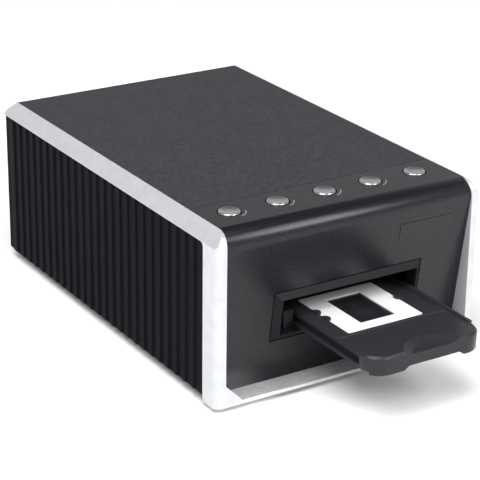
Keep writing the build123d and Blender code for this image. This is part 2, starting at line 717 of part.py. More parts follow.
# ---- drive -----------------------------------------------------------------
def involute(angle):
    return math.tan(angle) - angle


def gear_outline(module, teeth, first_tooth_deg):
    """Spur gear in (y, z): involute flanks, with a point on the pitch circle where teeth are few."""
    pitch_r = module * teeth / 2
    base_r = pitch_r * math.cos(math.radians(PRESSURE_DEG))
    root_r, tip_r = pitch_r - 1.25 * module, pitch_r + module
    half_pitch = math.pi / teeth / 2 - BACKLASH / 4 / pitch_r + involute(math.radians(PRESSURE_DEG))
    flank = []
    few = teeth <= PINION_TEETH
    for r in (root_r, pitch_r, tip_r) if few else (root_r, tip_r):
        flank.append((r, half_pitch - involute(math.acos(base_r / max(r, base_r)))))
    points = []
    for n in range(teeth):
        middle = math.radians(first_tooth_deg) + 2 * math.pi * n / teeth
        for r, half in flank:
            points.append((r * math.cos(middle - half), r * math.sin(middle - half)))
        for r, half in reversed(flank):
            points.append((r * math.cos(middle + half), r * math.sin(middle + half)))
    return outline(*points)


def drive_shaft():
    """Steel shaft across the case with the rack pinion and the large gear."""
    shaft = rod_x(SHAFT_Y, SHAFT_Z, SHAFT_R, -54.0, 50.0)
    gap_up = 90 + 180 / PINION_TEETH
    pinion = Pos(SHAFT_Y, SHAFT_Z) * gear_outline(MODULE_RACK, PINION_TEETH, gap_up)
    wheel = Pos(SHAFT_Y, SHAFT_Z) * gear_outline(MODULE_TRAIN, DRIVE_TEETH, 0)
    pinion = along_x(pinion, RACK_X[0] + 0.5, RACK_X[1] - 0.5)
    return shaft, pinion - shaft, along_x(wheel, *TRAIN_X) - shaft


def idler_gear():
    """Middle gear of the train, turning on a stud of the motor plate."""
    gap_front = 180 + 180 / IDLER_TEETH
    gear = Pos(IDLER_Y, SHAFT_Z) * gear_outline(MODULE_TRAIN, IDLER_TEETH, gap_front)
    return along_x(gear, *TRAIN_X) - rod_x(IDLER_Y, SHAFT_Z, STUD_R + 0.05, TRAIN_X[0] - 1, TRAIN_X[1] + 1)


def motor_parts():
    """Stepper motor: square can with cut corners, shaft and the small gear on its end."""
    half, cut = MOTOR_SIDE / 2, 4.0
    can = block(MOTOR_X, (MOTOR_Y - half, MOTOR_Y + half), (SHAFT_Z - half, SHAFT_Z + half))
    can = chamfer(can.edges().filter_by(Axis.X), cut)
    can -= rod_x(MOTOR_Y, SHAFT_Z, MOTOR_SHAFT_R + 0.05, MOTOR_X[0] + 2, MOTOR_X[1] + 1)
    shaft = rod_x(MOTOR_Y, SHAFT_Z, MOTOR_SHAFT_R, MOTOR_X[0] + 3, TRAIN_X[1] + 1)
    gear = Pos(MOTOR_Y, SHAFT_Z) * gear_outline(MODULE_TRAIN, MOTOR_TEETH, 180)
    return can, shaft, along_x(gear, *TRAIN_X) - shaft


def motor_plate():
    """Steel plate that carries motor and idler, folded to a foot on the floor."""
    thick = 1.8
    face = (MOTOR_X[1], MOTOR_X[1] + thick)
    end_y = MOTOR_Y + MOTOR_SIDE / 2 + 3
    upright = block(face, (IDLER_Y - 8, end_y), (FLOOR_TOP, SHAFT_Z + MOTOR_SIDE / 2 + 2))
    upright -= rod_x(MOTOR_Y, SHAFT_Z, MOTOR_SHAFT_R + 1, face[0] - 1, face[1] + 1)
    foot = block((face[0], face[0] + 17), (MOTOR_Y + 8, end_y), (FLOOR_TOP, FLOOR_TOP + thick))
    return upright + foot + rod_x(IDLER_Y, SHAFT_Z, STUD_R, face[0] + 0.5, TRAIN_X[1] + 1.4)


def shaft_bracket(x0, x1):
    """Folded bracket with a bearing hole for the drive shaft."""
    half, foot_reach = 7.0, 9.0
    across = (SHAFT_Y - half, SHAFT_Y + half)
    foot_x = (x0 - foot_reach, x1) if x0 > 0 else (x0, x1 + foot_reach)
    bracket = block((x0, x1), across, (FLOOR_TOP, SHAFT_Z + 5))
    bracket += block(foot_x, across, (FLOOR_TOP, FLOOR_TOP + 2))
    return bracket - rod_x(SHAFT_Y, SHAFT_Z, SHAFT_R + 0.05, x0 - 1, x1 + 1)


# ---- lamp and optics -------------------------------------------------------
def lamp_housing():
    """Open-topped white box under the scan line."""
    wall = 1.6
    x = (OPTICS_X - 22, OPTICS_X + 22)
    y = (SCAN_Y - 7, SCAN_Y + 7)
    outside = block(x, y, (FLOOR_TOP, DECK_Z[0] - SLIP))
    return outside - block((x[0] + wall, x[1] - wall), (y[0] + wall, y[1] - wall), (FLOOR_TOP + 2, DECK_Z[0]))


def lamp_board():
    """Row of small lamps on a strip of circuit board."""
    low, top = FLOOR_TOP + 2, FLOOR_TOP + 3.2
    board = block((OPTICS_X - 20, OPTICS_X + 20), (SCAN_Y - 5, SCAN_Y + 5), (low, top))
    for k in range(8):
        x = OPTICS_X + 5 * (k - 3.5)
        board += block((x - 1.4, x + 1.4), (SCAN_Y - 1.4, SCAN_Y + 1.4), (top, top + 0.8))
    return board


def lamp_diffuser():
    return block((OPTICS_X - 20.3, OPTICS_X + 20.3), (SCAN_Y - 5.3, SCAN_Y + 5.3), (29.0, 31.0))


def optical_bench():
    """Plate across the track walls, with cheeks that hold the mirror at 45 degrees."""
    bench = block(DECK_X, (-80.0, 70.0), BENCH_Z)
    for x in (-24, 40):
        for y in (-30, 25):
            bench -= block((x - 7, x + 7), (y - 15, y + 15), (BENCH_Z[0] - 1, BENCH_Z[1] + 1))
    cheek = outline((-80, 51), (-64, 51), (-70, 76), (-82, 76), (-98, 61), (-92, 56.5))
    for x in (OPTICS_X - 26, OPTICS_X + 24):
        bench += along_x(cheek, x, x + 2)
    return bench + Pos(OPTICS_X, SCAN_Y, OPTICS_Z) * Rot(45, 0, 0) * Pos(0, 0, 2.3) * Box(50, 19, 1.6)


def mirror_glass():
    return Pos(OPTICS_X, SCAN_Y, OPTICS_Z) * Rot(45, 0, 0) * Pos(0, 0, 0.5) * Box(46, 17, 2.0)


def lens_barrel():
    """Square lens holder, bored for its glass."""
    y0, y1 = LENS_Y
    across = (OPTICS_X - LENS_SIDE / 2, OPTICS_X + LENS_SIDE / 2)
    holder = block(across, (y0, y1), (OPTICS_Z - LENS_SIDE / 2, OPTICS_Z + LENS_SIDE / 2))
    return holder - rod_y(OPTICS_X, OPTICS_Z, LENS_BORE, y0 - 1, y1 + 1)


def lens_glass():
    """Front element, seated just inside the lens holder."""
    y0 = LENS_Y[0] + 0.5
    return rod_y(OPTICS_X, OPTICS_Z, LENS_BORE - 0.05, y0, y0 + 3.0)


def lens_cradle():
    """Block with an open seat that carries the lens holder."""
    y0, y1 = LENS_Y[0] + 12, LENS_Y[1] - 1
    half, wall = LENS_SIDE / 2, 4.0
    outside = (OPTICS_X - half - wall, OPTICS_X + half + wall)
    cradle = block(outside, (y0, y1), (BENCH_Z[1], OPTICS_Z - 2))
    return cradle - block((OPTICS_X - half, OPTICS_X + half), (y0 - 1, y1 + 1), (OPTICS_Z - half, OPTICS_Z))


def sensor_board():
    """Upright circuit board and the long image sensor on its front."""
    board = block((OPTICS_X - 30, OPTICS_X + 30), (SENSOR_Y, SENSOR_Y + PCB_THICK), (BENCH_Z[1], 84))
    sensor_z = (OPTICS_Z - 4.5, OPTICS_Z + 4.5)
    return board, block((OPTICS_X - 21, OPTICS_X + 21), (SENSOR_Y - 3.2, SENSOR_Y), sensor_z)


def main_board():
    """Main circuit board on the floor at the back, with its larger chips."""
    low = PCB_TOP - PCB_THICK
    board = block(PCB_X, PCB_Y, (low, PCB_TOP))
    post_x, post_y = deck_post_x()[0], DECK_POST_Y[-1] - POST / 2
    gap = 0.6
    hole_x = (post_x - gap, post_x + POST + gap)
    board -= block(hole_x, (post_y - gap, post_y + POST + gap), (low - 1, PCB_TOP + 1))
    chips = block((-52, -38), (72, 90), (PCB_TOP, PCB_TOP + 1.8))
    chips += block((-20, -8), (74, 86), (PCB_TOP, PCB_TOP + 1.4))
    for x in (-68, -58):
        chips += rod_z(x, 98, 3.6, PCB_TOP, PCB_TOP + 9)
    return board, chips


def board_standoffs():
    """Square posts between the floor and the main board."""
    inset, side = 4.0, 5.0
    posts = []
    for x in (PCB_X[0] + inset, PCB_X[1] - inset):
        for y in (PCB_Y[0] + inset, PCB_Y[1] - 22):
            across = (x - side / 2, x + side / 2)
            posts.append(block(across, (y - side / 2, y + side / 2), (FLOOR_TOP, PCB_TOP - PCB_THICK)))
    return posts


def build():
    frame = side_frame()
    save("right_side_frame", frame)
    save("left_side_frame", mirrored(frame))
    ribs = ribbed_panel()
    save("right_ribbed_panel", ribs)
    save("left_ribbed_panel", mirrored(ribs))
    save("top_panel", top_panel())
    save("front_cover", front_cover())
    save("front_ledge", front_ledge())
    save("slot_bezel", slot_bezel())
    save("nameplate", nameplate())
    save("base_pan", base_pan())
    save("rubber_feet", *rubber_feet())
    save("rear_panel", rear_panel())
    save("usb_socket", usb_socket())
    save("dc_socket", dc_socket())
    save("switch_housing", switch_housing())
    save("power_rocker", power_rocker())
    for n, x in enumerate(BUTTON_X, 1):
        save(f"scan_button_{n}", scan_button(x))
    board, switches = button_board()
    save("button_board", board)
    save("press_switches", *switches)
    save("flap_pin", flap_pin())
    save("dust_flap", dust_flap())
    save("holder_frame", holder_frame())
    save("holder_rack", holder_rack())
    save("slide_mount", slide_mount())
    save("film_chip", film_chip())
    save("holder_deck", holder_deck())
    shaft, pinion, wheel = drive_shaft()
    save("drive_shaft", shaft)
    save("rack_pinion", pinion)
    save("drive_gear", wheel)
    save("idler_gear", idler_gear())
    can, motor_shaft, motor_gear = motor_parts()
    save("motor_can", can)
    save("motor_shaft", motor_shaft)
    save("motor_gear", motor_gear)
    save("motor_plate", motor_plate())
    save("shaft_bracket_left", shaft_bracket(-43.0, -40.0))
    save("shaft_bracket_right", shaft_bracket(45.5, 48.5))
    save("lamp_housing", lamp_housing())
    save("lamp_board", lamp_board())
    save("lamp_diffuser", lamp_diffuser())
    save("optical_bench", optical_bench())
    save("mirror_glass", mirror_glass())
    save("lens_barrel", lens_barrel())
    save("lens_glass", lens_glass())
    save("lens_cradle", lens_cradle())
    board, sensor = sensor_board()
    save("sensor_board", board)
    save("image_sensor", sensor)
    board, chips = main_board()
    save("main_board", board)
    save("board_chips", chips)
    save("board_standoffs", *board_standoffs())


build()
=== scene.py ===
# %% [markdown]
# # A desktop film scanner, dressed for the camera
#
# The CAD model already has every part in its place: a black case between two silver side
# frames, five round buttons, and a film holder half way out of a slot. This lesson loads that
# model as a fixed frame and gives each part the look that the real one has. Nothing from the CAD
# is moved. A part either keeps its solid and gets a finish, or a finer piece stands in for it.

# %% The frame
import json
import math

import bmesh
import bpy
from mathutils import Matrix, Vector


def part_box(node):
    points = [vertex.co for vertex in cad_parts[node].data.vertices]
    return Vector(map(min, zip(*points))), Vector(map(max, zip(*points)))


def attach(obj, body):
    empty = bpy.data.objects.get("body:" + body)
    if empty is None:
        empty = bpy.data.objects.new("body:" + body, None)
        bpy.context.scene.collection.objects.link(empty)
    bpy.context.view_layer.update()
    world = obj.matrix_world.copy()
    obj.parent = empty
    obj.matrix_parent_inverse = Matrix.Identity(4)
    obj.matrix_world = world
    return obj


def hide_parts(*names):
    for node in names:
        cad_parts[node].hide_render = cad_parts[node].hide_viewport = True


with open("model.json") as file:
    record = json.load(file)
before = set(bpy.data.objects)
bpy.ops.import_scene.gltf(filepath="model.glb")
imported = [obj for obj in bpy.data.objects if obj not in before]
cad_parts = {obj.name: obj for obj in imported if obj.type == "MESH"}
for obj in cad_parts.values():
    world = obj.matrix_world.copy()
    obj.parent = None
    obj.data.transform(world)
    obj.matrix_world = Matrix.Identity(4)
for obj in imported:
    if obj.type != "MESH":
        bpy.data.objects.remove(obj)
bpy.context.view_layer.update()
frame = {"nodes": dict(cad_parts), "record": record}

nodes = frame["nodes"]
MM = 0.001

# %% [markdown]
# ## The camera
#
# A photograph of a product is usually taken from some way off with a long lens, which keeps the
# box from looking stretched. The camera's place was worked out from the corners of the case: it
# stands to the left of the front and looks down a little. Aiming is done with a rotation built
# from the direction of view, because that says plainly where the camera looks.

# %% Camera and picture
CAMERA_AZIMUTH = math.radians(-32.1)
CAMERA_ELEVATION = math.radians(22.4)
CAMERA_ROLL = math.radians(0.7)
CAMERA_DISTANCE = 1.0903
CAMERA_TARGET = Vector((-0.0092, 0.00295, 0.050))
LENS_MM = 138.0
SENSOR_MM = 36.0
FAR_CLIP = 20.0


def aim_camera():
    """A camera on its own line of view, at a distance from the target."""
    back = Vector((
        math.sin(CAMERA_AZIMUTH) * math.cos(CAMERA_ELEVATION),
        -math.cos(CAMERA_AZIMUTH) * math.cos(CAMERA_ELEVATION),
        math.sin(CAMERA_ELEVATION),
    ))
    data = bpy.data.cameras.new("camera")
    data.lens = LENS_MM
    data.sensor_width = SENSOR_MM
    data.clip_end = FAR_CLIP
    camera = bpy.data.objects.new("camera", data)
    camera.location = CAMERA_TARGET + back * CAMERA_DISTANCE
    camera.rotation_mode = "QUATERNION"
    turn = (-back).to_track_quat("-Z", "Y")
    roll = Matrix.Rotation(CAMERA_ROLL, 4, "Z").to_quaternion()
    camera.rotation_quaternion = turn @ roll
    bpy.context.scene.collection.objects.link(camera)
    bpy.context.scene.camera = camera
    return camera


camera = aim_camera()
print("camera at", tuple(round(v, 3) for v in camera.location))

# %% [markdown]
# ## The studio
#
# The photograph shows the scanner on seamless white. A large pale floor gives that, and every
# satin face mirrors it softly. The surround is bright near the horizon and dim overhead, as in a
# room with a white cove: the flat top mirrors the cove, and the round front edge mirrors first the
# dim ceiling, which draws its dark line, and then the right-hand soft box, which draws the light
# band below it. A box to the left and one overhead light the sides and the top, and the left wall
# of the slot throws its soft shade over the slide.

# %% Floor, surround and lights
FLOOR_HALF = 6.0
COVE_LIGHT = ((0.0, 0.95), (0.30, 0.52), (0.50, 0.50), (0.60, 0.20), (0.75, 0.05), (1.0, 0.05))
SOFT_BOXES = {
    # name: place, side in metres, watts
    "soft_box_right": ((0.66, -1.44, 1.24), 0.85, 25.0),
    "soft_box_left": ((-1.60, -0.70, 1.30), 1.6, 9.0),
    "soft_box_above": ((-0.80, -0.50, 2.00), 1.6, 58.0),
}


def plain_material(name, colour, roughness):
    """A material with a principled shader, returned with its shader and node tree."""
    material = bpy.data.materials.new(name)
    material.use_nodes = True
    shader = material.node_tree.nodes["Principled BSDF"]
    shader.inputs["Base Color"].default_value = (*colour, 1.0)
    shader.inputs["Roughness"].default_value = roughness
    return material, shader, material.node_tree


def mesh_object(name, bm):
    """An object from a bmesh, linked to the scene."""
    mesh = bpy.data.meshes.new(name)
    bm.to_mesh(mesh)
    bm.free()
    made = bpy.data.objects.new(name, mesh)
    bpy.context.scene.collection.objects.link(made)
    return made


def make_floor():
    bm = bmesh.new()
    bmesh.ops.create_grid(bm, x_segments=1, y_segments=1, size=FLOOR_HALF)
    floor = mesh_object("studio_floor", bm)
    material, _, _ = plain_material("studio_white", (0.93, 0.93, 0.93), 0.9)
    floor.data.materials.append(material)
    return floor


def soft_light(name, place, side, watts):
    """A square area light that faces the middle of the case."""
    data = bpy.data.lights.new(name, "AREA")
    data.energy = watts
    data.size = side
    light = bpy.data.objects.new(name, data)
    light.location = place
    light.rotation_mode = "QUATERNION"
    light.rotation_quaternion = (CAMERA_TARGET - Vector(place)).to_track_quat("-Z", "Y")
    bpy.context.scene.collection.objects.link(light)
    return light


def make_surround():
    """A world whose brightness depends on the height of the direction alone."""
    world = bpy.data.worlds.new("studio")
    world.use_nodes = True
    tree = world.node_tree
    direction = tree.nodes.new("ShaderNodeTexCoord")
    height = tree.nodes.new("ShaderNodeSeparateXYZ")
    ramp = tree.nodes.new("ShaderNodeValToRGB").color_ramp
    while len(ramp.elements) < len(COVE_LIGHT):
        ramp.elements.new(1.0)
    for stop, (place, level) in zip(ramp.elements, COVE_LIGHT):
        stop.position = place
        stop.color = (level, level, level, 1.0)
    tree.links.new(direction.outputs["Generated"], height.inputs[0])
    tree.links.new(height.outputs["Z"], tree.nodes["Color Ramp"].inputs["Fac"])
    tree.links.new(tree.nodes["Color Ramp"].outputs["Color"], tree.nodes["Background"].inputs["Color"])
    bpy.context.scene.world = world


make_floor()
make_surround()
for name, values in SOFT_BOXES.items():
    soft_light(name, *values)
bpy.context.scene.view_settings.view_transform = "Standard"
print("studio: floor, cove and", len(bpy.data.lights), "soft boxes")

# %% [markdown]
# ## Building a finish from nodes
#
# No real surface has one colour and one gloss. Moulded plastic has a fine grain from the tool,
# paint has a slight orange peel, and both are polished by hands along their edges. These helpers
# add such layers one at a time: a soft variation of colour, a variation of roughness, a bump,
# and a paler line where the surface turns, which is partly that wear and partly a painted
# highlight. Patterns run in object coordinates, so they keep their real size on every part.

# %% Layers of a finish
def add(tree, kind, **inputs):
    """A node with some of its inputs set by name."""
    node = tree.nodes.new(kind)
    for name, value in inputs.items():
        node.inputs[name.replace("_", " ")].default_value = value
    return node


def position(tree, stretch=(1.0, 1.0, 1.0)):
    """Object coordinates, stretched along an axis for drawn or brushed surfaces."""
    place = tree.nodes.new("ShaderNodeTexCoord")
    mapping = tree.nodes.new("ShaderNodeMapping")
    mapping.inputs["Scale"].default_value = stretch
    tree.links.new(place.outputs["Object"], mapping.inputs["Vector"])
    return mapping.outputs["Vector"]


def noise(tree, size, detail=3.0, stretch=(1.0, 1.0, 1.0)):
    """Noise whose features measure about size, in metres."""
    node = add(tree, "ShaderNodeTexNoise", Scale=1.0 / size, Detail=detail)
    tree.links.new(position(tree, stretch), node.inputs["Vector"])
    return node.outputs["Fac"]


def spread(tree, value, low, high):
    """A noise value turned into a number between low and high."""
    node = add(tree, "ShaderNodeMapRange", From_Min=0.3, From_Max=0.7, To_Min=low, To_Max=high)
    tree.links.new(value, node.inputs["Value"])
    return node.outputs["Result"]


def vary_colour(tree, shader, value, dark, light):
    """Base colour that drifts between two colours."""
    ramp = tree.nodes.new("ShaderNodeValToRGB")
    ramp.color_ramp.elements[0].position = 0.35
    ramp.color_ramp.elements[0].color = (*dark, 1.0)
    ramp.color_ramp.elements[1].position = 0.65
    ramp.color_ramp.elements[1].color = (*light, 1.0)
    tree.links.new(value, ramp.inputs["Fac"])
    tree.links.new(ramp.outputs["Color"], shader.inputs["Base Color"])
    return ramp.outputs["Color"]


def edge_mask(tree, radius):
    """1 along the outer edges of a part and 0 on its faces."""
    rounded = tree.nodes.new("ShaderNodeBevel")
    rounded.inputs["Radius"].default_value = radius
    plain = tree.nodes.new("ShaderNodeNewGeometry")
    dot = tree.nodes.new("ShaderNodeVectorMath")
    dot.operation = "DOT_PRODUCT"
    tree.links.new(rounded.outputs["Normal"], dot.inputs[0])
    tree.links.new(plain.outputs["Normal"], dot.inputs[1])
    node = add(tree, "ShaderNodeMapRange", From_Min=0.98, From_Max=0.80, To_Min=0.0, To_Max=1.0)
    tree.links.new(dot.outputs["Value"], node.inputs["Value"])
    return node.outputs["Result"]


def edge_wear_and_highlight(tree, shader, colour, worn_and_lit_edge, radius, amount):
    """Mixes a paler colour into the base colour along the edges: partly wear, partly a painted
    highlight.
    """
    strength = tree.nodes.new("ShaderNodeMath")
    strength.operation = "MULTIPLY"
    strength.inputs[1].default_value = amount
    tree.links.new(edge_mask(tree, radius), strength.inputs[0])
    mix = tree.nodes.new("ShaderNodeMix")
    mix.data_type = "RGBA"
    tree.links.new(strength.outputs["Value"], mix.inputs["Factor"])
    tree.links.new(colour, mix.inputs["A"])
    mix.inputs["B"].default_value = (*worn_and_lit_edge, 1.0)
    tree.links.new(mix.outputs["Result"], shader.inputs["Base Color"])


def bump(tree, shader, value, height, strength=1.0):
    """Bump of a real height in metres, added over any bump already there."""
    node = add(tree, "ShaderNodeBump", Strength=strength, Distance=height)
    tree.links.new(value, node.inputs["Height"])
    before = shader.inputs["Normal"].links
    if before:
        tree.links.new(before[0].from_socket, node.inputs["Normal"])
    tree.links.new(node.outputs["Normal"], shader.inputs["Normal"])


print("finish helpers ready")

# %% [markdown]
# ## Moulded plastic, painted silver and the small parts
#
# The black covers are spark-textured plastic: a fine matt grain with a faint mottle. The mottle of
# the top panel runs in short strokes, like fine leather, so its noise is bent by a second noise.
# The silver of the side frames is paint, not bare metal: part of its light is scattered, which
# keeps it pale even where it faces the black front. So it is only partly metallic. Each finish is
# one call, so that a colour or a grain can be changed in one line.

# %% Plastic and paint
def grained_plastic(name, dark, light, roughness, specular=0.4, grain=0.0006, height=0.00003, worn_and_lit_edge=None):
    """Moulded plastic with a faint mottle, a spark-eroded grain and paler edges, partly polish and
    partly a painted highlight.
    """
    material, shader, tree = plain_material(name, light, roughness)
    shader.inputs["Specular IOR Level"].default_value = specular
    colour = vary_colour(tree, shader, noise(tree, 1.5 * grain, 2.0), dark, light)
    # Paler edges: partly wear, partly a painted highlight.
    if worn_and_lit_edge:
        edge_wear_and_highlight(tree, shader, colour, worn_and_lit_edge, 0.0004, 0.5)
    gloss = spread(tree, noise(tree, grain, 1.0), roughness - 0.02, roughness + 0.03)
    tree.links.new(gloss, shader.inputs["Roughness"])
    bump(tree, shader, noise(tree, grain, 2.0), height, 0.6)
    return material


def silver_paint(name, base, roughness, metallic, stretch=(1.0, 1.0, 1.0), line=0.0009, depth=0.000008):
    """Satin metallic paint or metal, with fine lines along the axis that stretch leaves short, and paler
    edges that are partly wear and partly a painted highlight.
    """
    material, shader, tree = plain_material(name, base, roughness)
    shader.inputs["Metallic"].default_value = metallic
    lines = noise(tree, line, 3.0, stretch)
    dark = tuple(c * 0.93 for c in base)
    colour = vary_colour(tree, shader, noise(tree, 0.006, 4.0), dark, base)
    # The edges are paled: partly wear, partly a painted highlight along the rounded edges.
    worn_and_lit_edge_tone = tuple(min(1.0, c * 1.15) for c in base)
    edge_wear_and_highlight(tree, shader, colour, worn_and_lit_edge_tone, 0.0005, 0.7)
    tree.links.new(spread(tree, lines, roughness - 0.05, roughness + 0.07), shader.inputs["Roughness"])
    bump(tree, shader, lines, depth, 0.5)
    return material


def leathery_top(name, dark, light, roughness, specular):
    """Top panel: short crossing strokes, a fine grain and a shallow pebble in the bump."""
    material, shader, tree = plain_material(name, light, roughness)
    shader.inputs["Specular IOR Level"].default_value = specular
    strokes = add(tree, "ShaderNodeTexNoise", Scale=260.0, Detail=4.0, Distortion=2.2)
    tree.links.new(position(tree), strokes.inputs["Vector"])
    vary_colour(tree, shader, strokes.outputs["Fac"], dark, light)
    pebble = add(tree, "ShaderNodeTexVoronoi", Scale=900.0)
    tree.links.new(position(tree), pebble.inputs["Vector"])
    gloss = spread(tree, strokes.outputs["Fac"], roughness - 0.05, roughness + 0.06)
    tree.links.new(gloss, shader.inputs["Roughness"])
    bump(tree, shader, pebble.outputs["Distance"], 0.00006, 0.5)
    bump(tree, shader, strokes.outputs["Fac"], 0.00010, 0.35)
    return material


SILVER = silver_paint("silver_satin", (0.60, 0.61, 0.63), 0.36, 0.50)
# The ledge is brushed silver paint like the frames, with a paler base: the extra paleness is painted
# light, for the light on its upward faces.
LEDGE_SILVER_LIT = silver_paint("silver_brushed_lit", (0.86, 0.87, 0.89), 0.30, 0.55, (0.04, 1.0, 1.0), 0.0005)
BUTTON_METAL = silver_paint("button_spun", (0.52, 0.52, 0.54), 0.26, 0.95, line=0.0007)
STEEL = silver_paint("steel_drawn", (0.56, 0.57, 0.58), 0.3, 1.0, (0.05, 1.0, 1.0), 0.0004)
MIRROR = silver_paint("mirror_silvered", (0.9, 0.9, 0.9), 0.08, 1.0, line=0.004)
TOP_BLACK = leathery_top("top_black", (0.014, 0.014, 0.017), (0.036, 0.035, 0.042), 0.50, 0.20)
print("metal and top finishes:", len(bpy.data.materials))

# %% The plain plastics
PLASTICS = {
    # name: dark, light, roughness, specular, grain size, grain height
    "front_black": ((0.006, 0.006, 0.008), (0.010, 0.009, 0.013), 0.28, 0.32, 0.0006, 0.00001),
    "bezel_black": ((0.007, 0.007, 0.009), (0.011, 0.011, 0.014), 0.50, 0.12, 0.0006, 0.00003),
    "rib_black": ((0.003, 0.003, 0.005), (0.005, 0.006, 0.008), 0.50, 0.02, 0.0006, 0.00003),
    "holder_black": ((0.018, 0.018, 0.021), (0.026, 0.025, 0.030), 0.30, 0.20, 0.0006, 0.00002),
    "inner_black": ((0.008, 0.008, 0.009), (0.013, 0.013, 0.015), 0.60, 0.30, 0.0006, 0.00003),
    "mount_white": ((0.66, 0.66, 0.67), (0.71, 0.71, 0.72), 0.45, 0.40, 0.0008, 0.00001),
    "gear_white": ((0.70, 0.69, 0.64), (0.78, 0.77, 0.72), 0.40, 0.40, 0.0006, 0.00002),
    "lamp_white": ((0.75, 0.75, 0.75), (0.82, 0.82, 0.82), 0.55, 0.40, 0.0006, 0.00003),
    "rubber": ((0.014, 0.014, 0.015), (0.022, 0.022, 0.024), 0.75, 0.30, 0.0012, 0.00006),
    "board_green": ((0.010, 0.070, 0.030), (0.016, 0.100, 0.045), 0.35, 0.40, 0.0010, 0.00001),
    "chip_black": ((0.015, 0.015, 0.016), (0.025, 0.025, 0.027), 0.50, 0.40, 0.0006, 0.00002),
    "plate_black": ((0.004, 0.004, 0.005), (0.007, 0.007, 0.009), 0.18, 0.35, 0.0030, 0.000004),
    "film_dark": ((0.010, 0.009, 0.011), (0.018, 0.016, 0.019), 0.22, 0.35, 0.0060, 0.00001),
    "diffuser": ((0.78, 0.79, 0.80), (0.86, 0.87, 0.88), 0.30, 0.40, 0.0010, 0.00001),
    "lens_black": ((0.012, 0.012, 0.012), (0.020, 0.020, 0.020), 0.30, 0.40, 0.0006, 0.00002),
    "glass": ((0.030, 0.020, 0.060), (0.040, 0.030, 0.090), 0.10, 0.50, 0.0100, 0.000002),
    "ink_grey": ((0.13, 0.13, 0.14), (0.19, 0.19, 0.20), 0.50, 0.30, 0.0008, 0.00001),
}
# Edge colours of some plastics: partly polish from hands, partly a painted highlight along the edges.
EDGE_TONES_WEAR_AND_HIGHLIGHT = {
    # The pale rib edges are a painted highlight: they draw the light lines along the ribs.
    "rib_black": (0.055, 0.056, 0.062),
    "holder_black": (0.10, 0.10, 0.11),
    "plate_black": (0.30, 0.30, 0.31),
}
finish = {
    name: grained_plastic(name, *values, worn_and_lit_edge=EDGE_TONES_WEAR_AND_HIGHLIGHT.get(name))
    for name, values in PLASTICS.items()
}
print("plastics:", len(finish))

# %% [markdown]
# ## Finishes on the solids
#
# Each CAD part takes a finish. The record names a material slot for every part, so one table from
# slot to finish covers them all, and a part added later is dressed without a new line here.

# %% Dress every node
finish.update({
    "silver": SILVER,
    "cover_black": TOP_BLACK,
    "button_silver": BUTTON_METAL,
    "steel": STEEL,
    "mirror": MIRROR,
})
SLOT_OF_NODE = {part["node"]: part["material_slot"] for part in frame["record"]["subparts"]}


def dress(piece, material):
    """One material in every slot of a piece."""
    if not piece.data.materials:
        piece.data.materials.append(material)
    for slot in piece.material_slots:
        slot.link = "OBJECT"
        slot.material = material


for name, node in nodes.items():
    dress(node, finish[SLOT_OF_NODE[name]])
# The ledge's paler silver is painted light on its upward faces.
dress(nodes["front_ledge"], LEDGE_SILVER_LIT)
dress(nodes["slot_bezel"], finish["bezel_black"])
print("dressed", len(nodes), "nodes")

# %% [markdown]
# ## Soft edges
#
# A solid from CAD has knife edges, and no moulding has those: the small round on every edge is
# what catches the light and tells the eye where one part ends. A bevel modifier adds it without
# touching the mesh. It needs joined faces, so a weld comes first, and a planar decimate turns the
# triangles of each flat face back into one face.

# %% Round the edges of the visible solids
SHARP = math.radians(28)


def soften(name, width, segments=3):
    """Small rounds on the sharp edges of a node, by modifiers alone."""
    node = nodes[name]
    weld = node.modifiers.new("weld", "WELD")
    weld.merge_threshold = 0.00001
    flat = node.modifiers.new("flat", "DECIMATE")
    flat.decimate_type = "DISSOLVE"
    flat.angle_limit = math.radians(0.5)
    bevel = node.modifiers.new("bevel", "BEVEL")
    bevel.width = width
    bevel.segments = segments
    bevel.limit_method = "ANGLE"
    bevel.angle_limit = SHARP
    bevel.use_clamp_overlap = True
    bevel.harden_normals = True
    return node


EDGE_ROUNDS = {
    "left_side_frame": 0.0009,
    "right_side_frame": 0.0009,
    "front_ledge": 0.0003,
    "left_ribbed_panel": 0.0002,
    "right_ribbed_panel": 0.0002,
    "top_panel": 0.0002,
    "front_cover": 0.0002,
    "slot_bezel": 0.0003,
    "nameplate": 0.0002,
    "holder_frame": 0.0005,
    "slide_mount": 0.0002,
    "rear_panel": 0.0002,
    "base_pan": 0.0002,
    "rubber_feet": 0.0003,
    "power_rocker": 0.0002,
    "switch_housing": 0.0002,
}
for name, width in EDGE_ROUNDS.items():
    soften(name, width)
print("softened", len(EDGE_ROUNDS), "nodes")

# %% [markdown]
# ## Five buttons, turned on a lathe
#
# The solid of a button is a bevelled disc on its stem. The real cap is spun metal: a thin rolled
# rim round a shallow dish, and the dish is what gives each button its bright crescent. A profile
# turned about the button's own axis makes such a cap. The flange and the stem come with it, so the
# new piece stands in for the whole node and is pressed with it.

# %% Profiles turned into rings
TURNS = 72


def turned(bm, profile, centre):
    """A closed solid of revolution about Z; the profile's radii start and end at 0."""
    rings = []
    for radius, height in profile:
        if radius == 0:
            rings.append([bm.verts.new((centre.x, centre.y, height))])
            continue
        ring = []
        for k in range(TURNS):
            angle = 2 * math.pi * k / TURNS
            x = centre.x + radius * math.cos(angle)
            ring.append(bm.verts.new((x, centre.y + radius * math.sin(angle), height)))
        rings.append(ring)
    for low, high in zip(rings, rings[1:]):
        for k in range(TURNS):
            corners = [low[k % len(low)], low[(k + 1) % len(low)]]
            corners += [high[(k + 1) % len(high)], high[k % len(high)]]
            bm.faces.new(list(dict.fromkeys(corners)))


